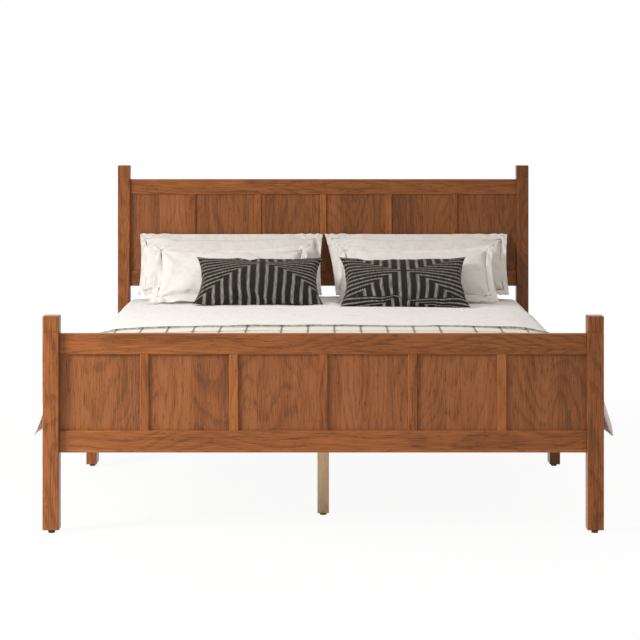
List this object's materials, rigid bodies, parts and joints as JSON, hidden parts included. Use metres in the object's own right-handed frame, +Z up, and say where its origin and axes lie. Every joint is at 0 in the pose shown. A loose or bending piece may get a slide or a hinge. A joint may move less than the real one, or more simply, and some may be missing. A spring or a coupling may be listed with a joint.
{
  "type": "panel bed",
  "caption": "Wooden panel bed with framed panels at head and foot, side rails on hook plates, slats, a centre beam on legs, a mattress and made-up bedding.",
  "frame": {"origin": "middle of the bed at floor level", "axes": "+Z up, +Y along the bed from the footboard to the headboard, +X to the right as seen from the foot end"},
  "size_m": [1.699, 2.15, 1],
  "materials": {
    "stained_wood": "reddish-brown stain, satin lacquer",
    "pale_pine": "planed, unfinished",
    "plated_steel": "zinc plated",
    "black_plastic": "matt",
    "mattress_ticking": "quilted knit",
    "white_cotton": "washed cotton",
    "throw_wool": "woven, cream with thin charcoal checks",
    "striped_velvet": "black velvet with silver-grey stripes"
  },
  "bodies": {
    "bed_frame": {"beam_brackets": "plated_steel", "centre_beam": "pale_pine", "centre_leg_1": "pale_pine", "centre_leg_2": "pale_pine", "centre_leg_3": "pale_pine", "centre_leg_glides": "black_plastic", "cleat_left": "pale_pine", "cleat_right": "pale_pine", "foot_bottom_rail": "stained_wood", "foot_mullion_1": "stained_wood", "foot_mullion_2": "stained_wood", "foot_mullion_3": "stained_wood", "foot_mullion_4": "stained_wood", "foot_mullion_5": "stained_wood", "foot_panel_1": "stained_wood", "foot_panel_2": "stained_wood", "foot_panel_3": "stained_wood", "foot_panel_4": "stained_wood", "foot_panel_5": "stained_wood", "foot_panel_6": "stained_wood", "foot_post_left": "stained_wood", "foot_post_right": "stained_wood", "foot_top_rail": "stained_wood", "head_lower_rail": "stained_wood", "head_middle_rail": "stained_wood", "head_mullion_1": "stained_wood", "head_mullion_2": "stained_wood", "head_mullion_3": "stained_wood", "head_mullion_4": "stained_wood", "head_mullion_5": "stained_wood", "head_panel_1": "stained_wood", "head_panel_2": "stained_wood", "head_panel_3": "stained_wood", "head_panel_4": "stained_wood", "head_panel_5": "stained_wood", "head_panel_6": "stained_wood", "head_post_left": "stained_wood", "head_post_right": "stained_wood", "head_top_rail": "stained_wood", "hook_plates": "plated_steel", "leg_bolts": "plated_steel", "plate_and_bracket_screws": "plated_steel", "side_leg_left": "stained_wood", "side_leg_right": "stained_wood", "side_rail_left": "stained_wood", "side_rail_right": "stained_wood", "slat_and_cleat_screws": "plated_steel", "slats": "pale_pine", "slot_plates": "plated_steel", "tapered_feet": "black_plastic"},
    "mattress": {"mattress": "mattress_ticking", "duvet": "white_cotton", "throw_blanket": "throw_wool"},
    "back_pillow_left": {"back_pillow_left": "white_cotton"},
    "front_pillow_left": {"front_pillow_left": "white_cotton"},
    "lumbar_cushion_left": {"lumbar_cushion_left": "striped_velvet"},
    "back_pillow_right": {"back_pillow_right": "white_cotton"},
    "front_pillow_right": {"front_pillow_right": "white_cotton"},
    "lumbar_cushion_right": {"lumbar_cushion_right": "striped_velvet"}
  },
  "joints": [
    {"name": "mattress_lift", "type": "slide", "parent": "bed_frame", "child": "mattress", "axis": [0, 0, 1], "range_m": [0, 0.4]},
    {"name": "back_pillow_left_lift", "type": "slide", "parent": "mattress", "child": "back_pillow_left", "axis": [0, 0, 1], "range_m": [0, 0.3]},
    {"name": "front_pillow_left_lift", "type": "slide", "parent": "back_pillow_left", "child": "front_pillow_left", "axis": [0, 0, 1], "range_m": [0, 0.3]},
    {"name": "lumbar_cushion_left_lift", "type": "slide", "parent": "front_pillow_left", "child": "lumbar_cushion_left", "axis": [0, 0, 1], "range_m": [0, 0.25]},
    {"name": "back_pillow_right_lift", "type": "slide", "parent": "mattress", "child": "back_pillow_right", "axis": [0, 0, 1], "range_m": [0, 0.3]},
    {"name": "front_pillow_right_lift", "type": "slide", "parent": "back_pillow_right", "child": "front_pillow_right", "axis": [0, 0, 1], "range_m": [0, 0.3]},
    {"name": "lumbar_cushion_right_lift", "type": "slide", "parent": "front_pillow_right", "child": "lumbar_cushion_right", "axis": [0, 0, 1], "range_m": [0, 0.25]}
  ]
}
